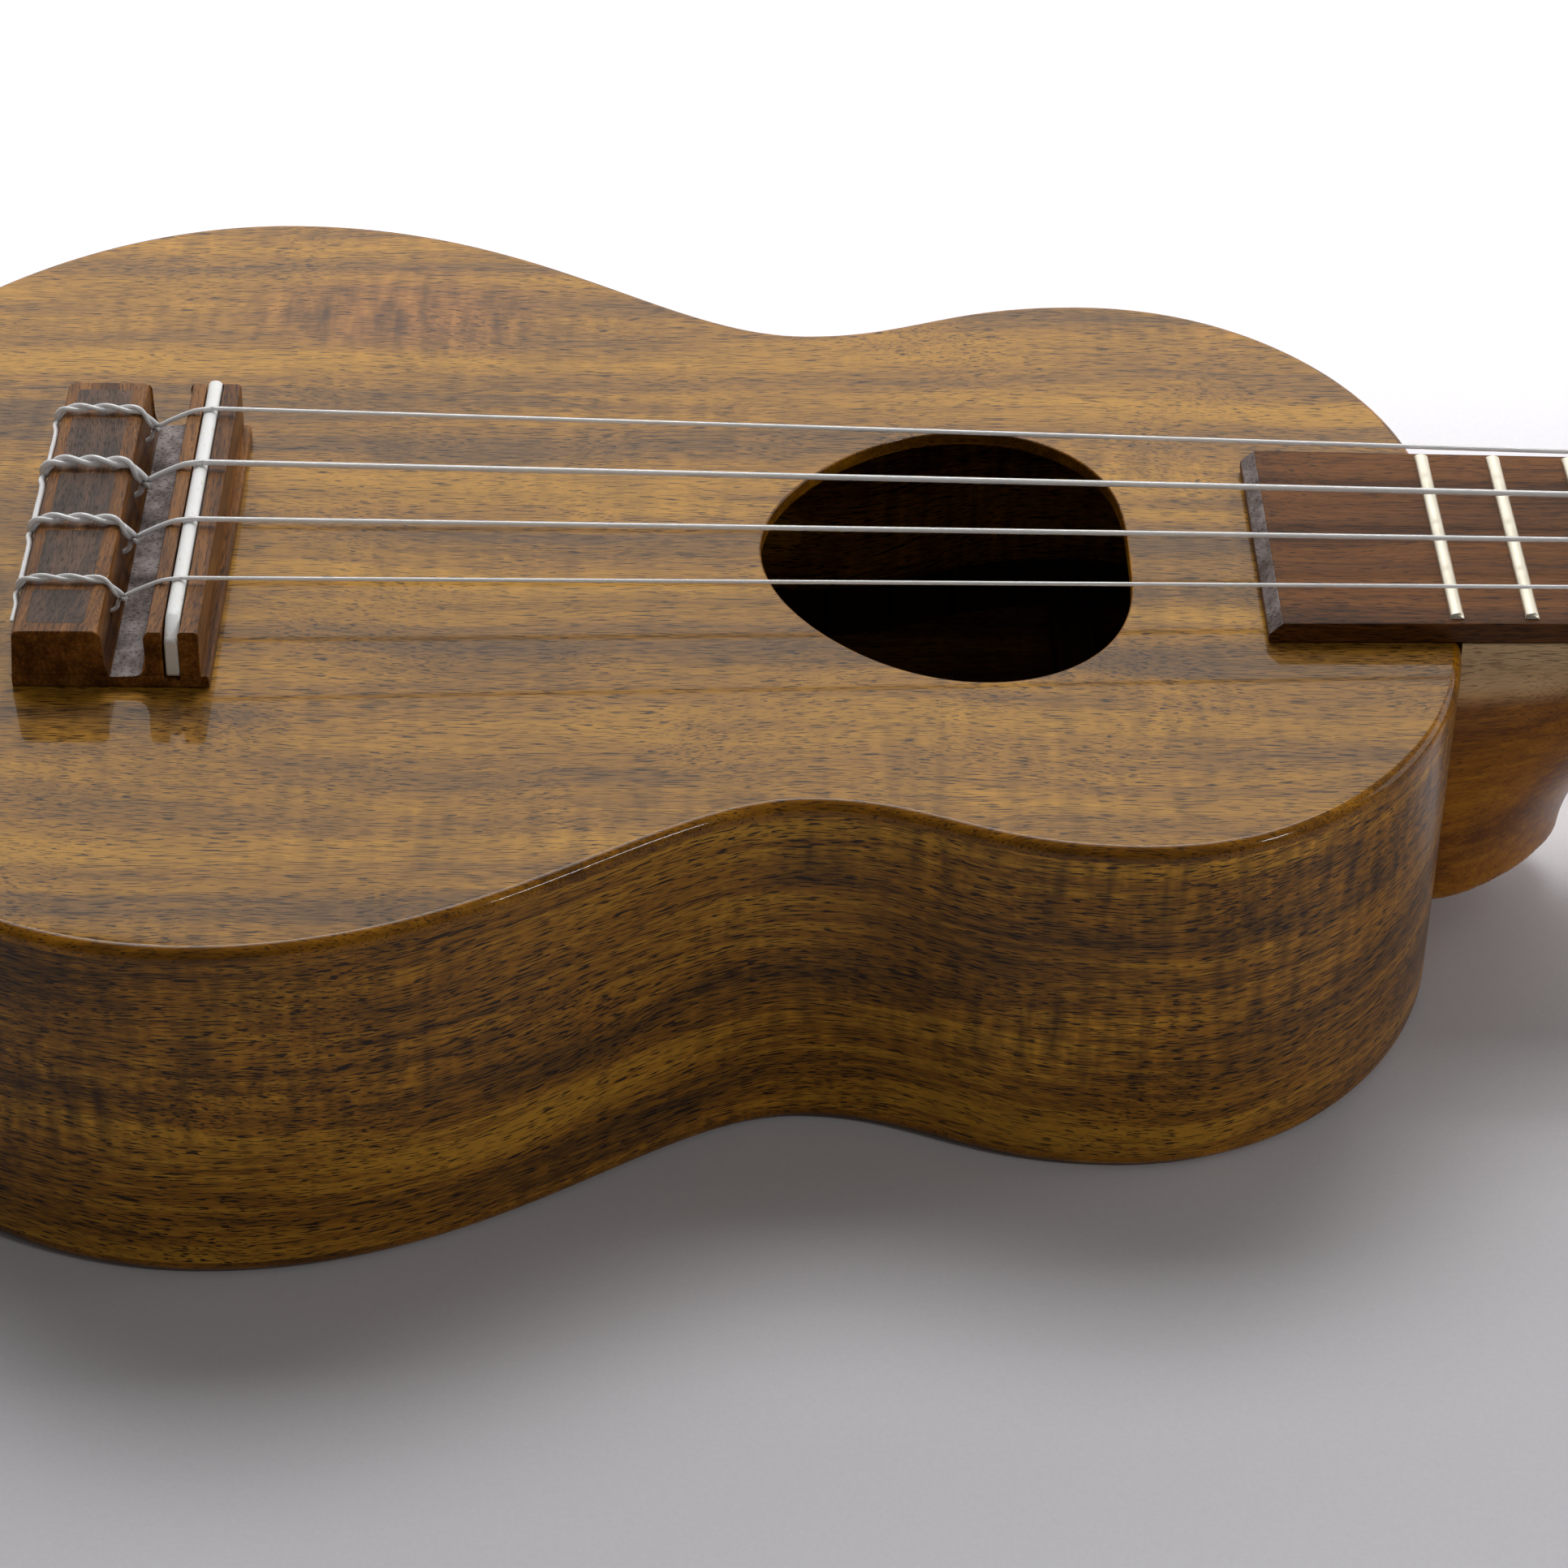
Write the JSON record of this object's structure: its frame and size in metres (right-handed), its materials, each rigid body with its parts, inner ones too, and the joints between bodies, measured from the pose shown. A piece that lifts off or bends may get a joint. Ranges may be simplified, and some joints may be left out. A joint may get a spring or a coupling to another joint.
{
  "type": "ukulele",
  "caption": "Soprano ukulele with a figure-eight wooden body, a rounded-triangle soundhole, a tie bridge, a fretted neck and friction tuners that turn.",
  "frame": {"origin": "on the flat face of the back, on the centre line, straight below the saddle", "axes": "+X along the strings from the saddle to the headstock, +Y to the bass side, +Z out of the soundboard"},
  "size_m": [0.5225, 0.1854, 0.065],
  "materials": {
    "koa_top": "satin clear lacquer over figured tan-brown koa",
    "koa_side": "gloss clear lacquer over dark olive-brown koa with open pores",
    "inner_wood": "bare sawn spruce and basswood",
    "maple": "bare planed maple",
    "mahogany": "satin lacquered mahogany",
    "bridge_rosewood": "open-pored rosewood, waxed",
    "fretboard_rosewood": "open-pored rosewood, oiled",
    "bone": "polished white bone substitute",
    "pearl": "polished pearl-white inlay",
    "fret_nickel": "nickel silver wire, worn smooth",
    "tuner_nickel": "nickel-plated brass, bright",
    "button_resin": "cream cast resin, polished",
    "string_fluorocarbon": "clear fluorocarbon monofilament"
  },
  "bodies": {
    "ukulele": {"back_brace_lower": "inner_wood", "back_brace_middle": "inner_wood", "back_brace_upper": "inner_wood", "back_lining_bass": "inner_wood", "back_lining_treble": "inner_wood", "back_plate": "koa_side", "bridge": "bridge_rosewood", "bridge_plate": "maple", "ferrule_a": "tuner_nickel", "ferrule_c": "tuner_nickel", "ferrule_e": "tuner_nickel", "ferrule_g": "tuner_nickel", "fret_01": "fret_nickel", "fret_02": "fret_nickel", "fret_03": "fret_nickel", "fret_04": "fret_nickel", "fret_05": "fret_nickel", "fret_06": "fret_nickel", "fret_07": "fret_nickel", "fret_08": "fret_nickel", "fret_09": "fret_nickel", "fret_10": "fret_nickel", "fret_11": "fret_nickel", "fret_12": "fret_nickel", "fret_dot_05": "pearl", "fret_dot_07": "pearl", "fret_dot_10": "pearl", "fretboard": "fretboard_rosewood", "headstock_veneer": "koa_side", "neck": "mahogany", "neck_block": "inner_wood", "nut": "bone", "saddle": "bone", "side_bass": "koa_side", "side_treble": "koa_side", "soundboard": "koa_top", "string_a": "string_fluorocarbon", "string_c": "string_fluorocarbon", "string_e": "string_fluorocarbon", "string_g": "string_fluorocarbon", "tail_block": "inner_wood", "top_brace_lower": "inner_wood", "top_brace_upper": "inner_wood", "top_lining_bass": "inner_wood", "top_lining_treble": "inner_wood", "top_strut_bass": "inner_wood", "top_strut_center": "inner_wood", "top_strut_treble": "inner_wood", "tuner_cup_a": "tuner_nickel", "tuner_cup_c": "tuner_nickel", "tuner_cup_e": "tuner_nickel", "tuner_cup_g": "tuner_nickel"},
    "tuner_g": {"post_g": "tuner_nickel", "button_g": "button_resin"},
    "tuner_c": {"post_c": "tuner_nickel", "button_c": "button_resin"},
    "tuner_e": {"post_e": "tuner_nickel", "button_e": "button_resin"},
    "tuner_a": {"post_a": "tuner_nickel", "button_a": "button_resin"}
  },
  "joints": [
    {"name": "tuner_g_turn", "type": "hinge", "parent": "ukulele", "child": "tuner_g", "pos_m": [0.38284, 0.016, 0.04776], "axis": [0.2079, 0, 0.9781], "continuous": true},
    {"name": "tuner_c_turn", "type": "hinge", "parent": "ukulele", "child": "tuner_c", "pos_m": [0.42197, 0.016, 0.03945], "axis": [0.2079, 0, 0.9781], "continuous": true},
    {"name": "tuner_e_turn", "type": "hinge", "parent": "ukulele", "child": "tuner_e", "pos_m": [0.42197, -0.016, 0.03945], "axis": [0.2079, 0, 0.9781], "continuous": true},
    {"name": "tuner_a_turn", "type": "hinge", "parent": "ukulele", "child": "tuner_a", "pos_m": [0.38284, -0.016, 0.04776], "axis": [0.2079, 0, 0.9781], "continuous": true}
  ]
}
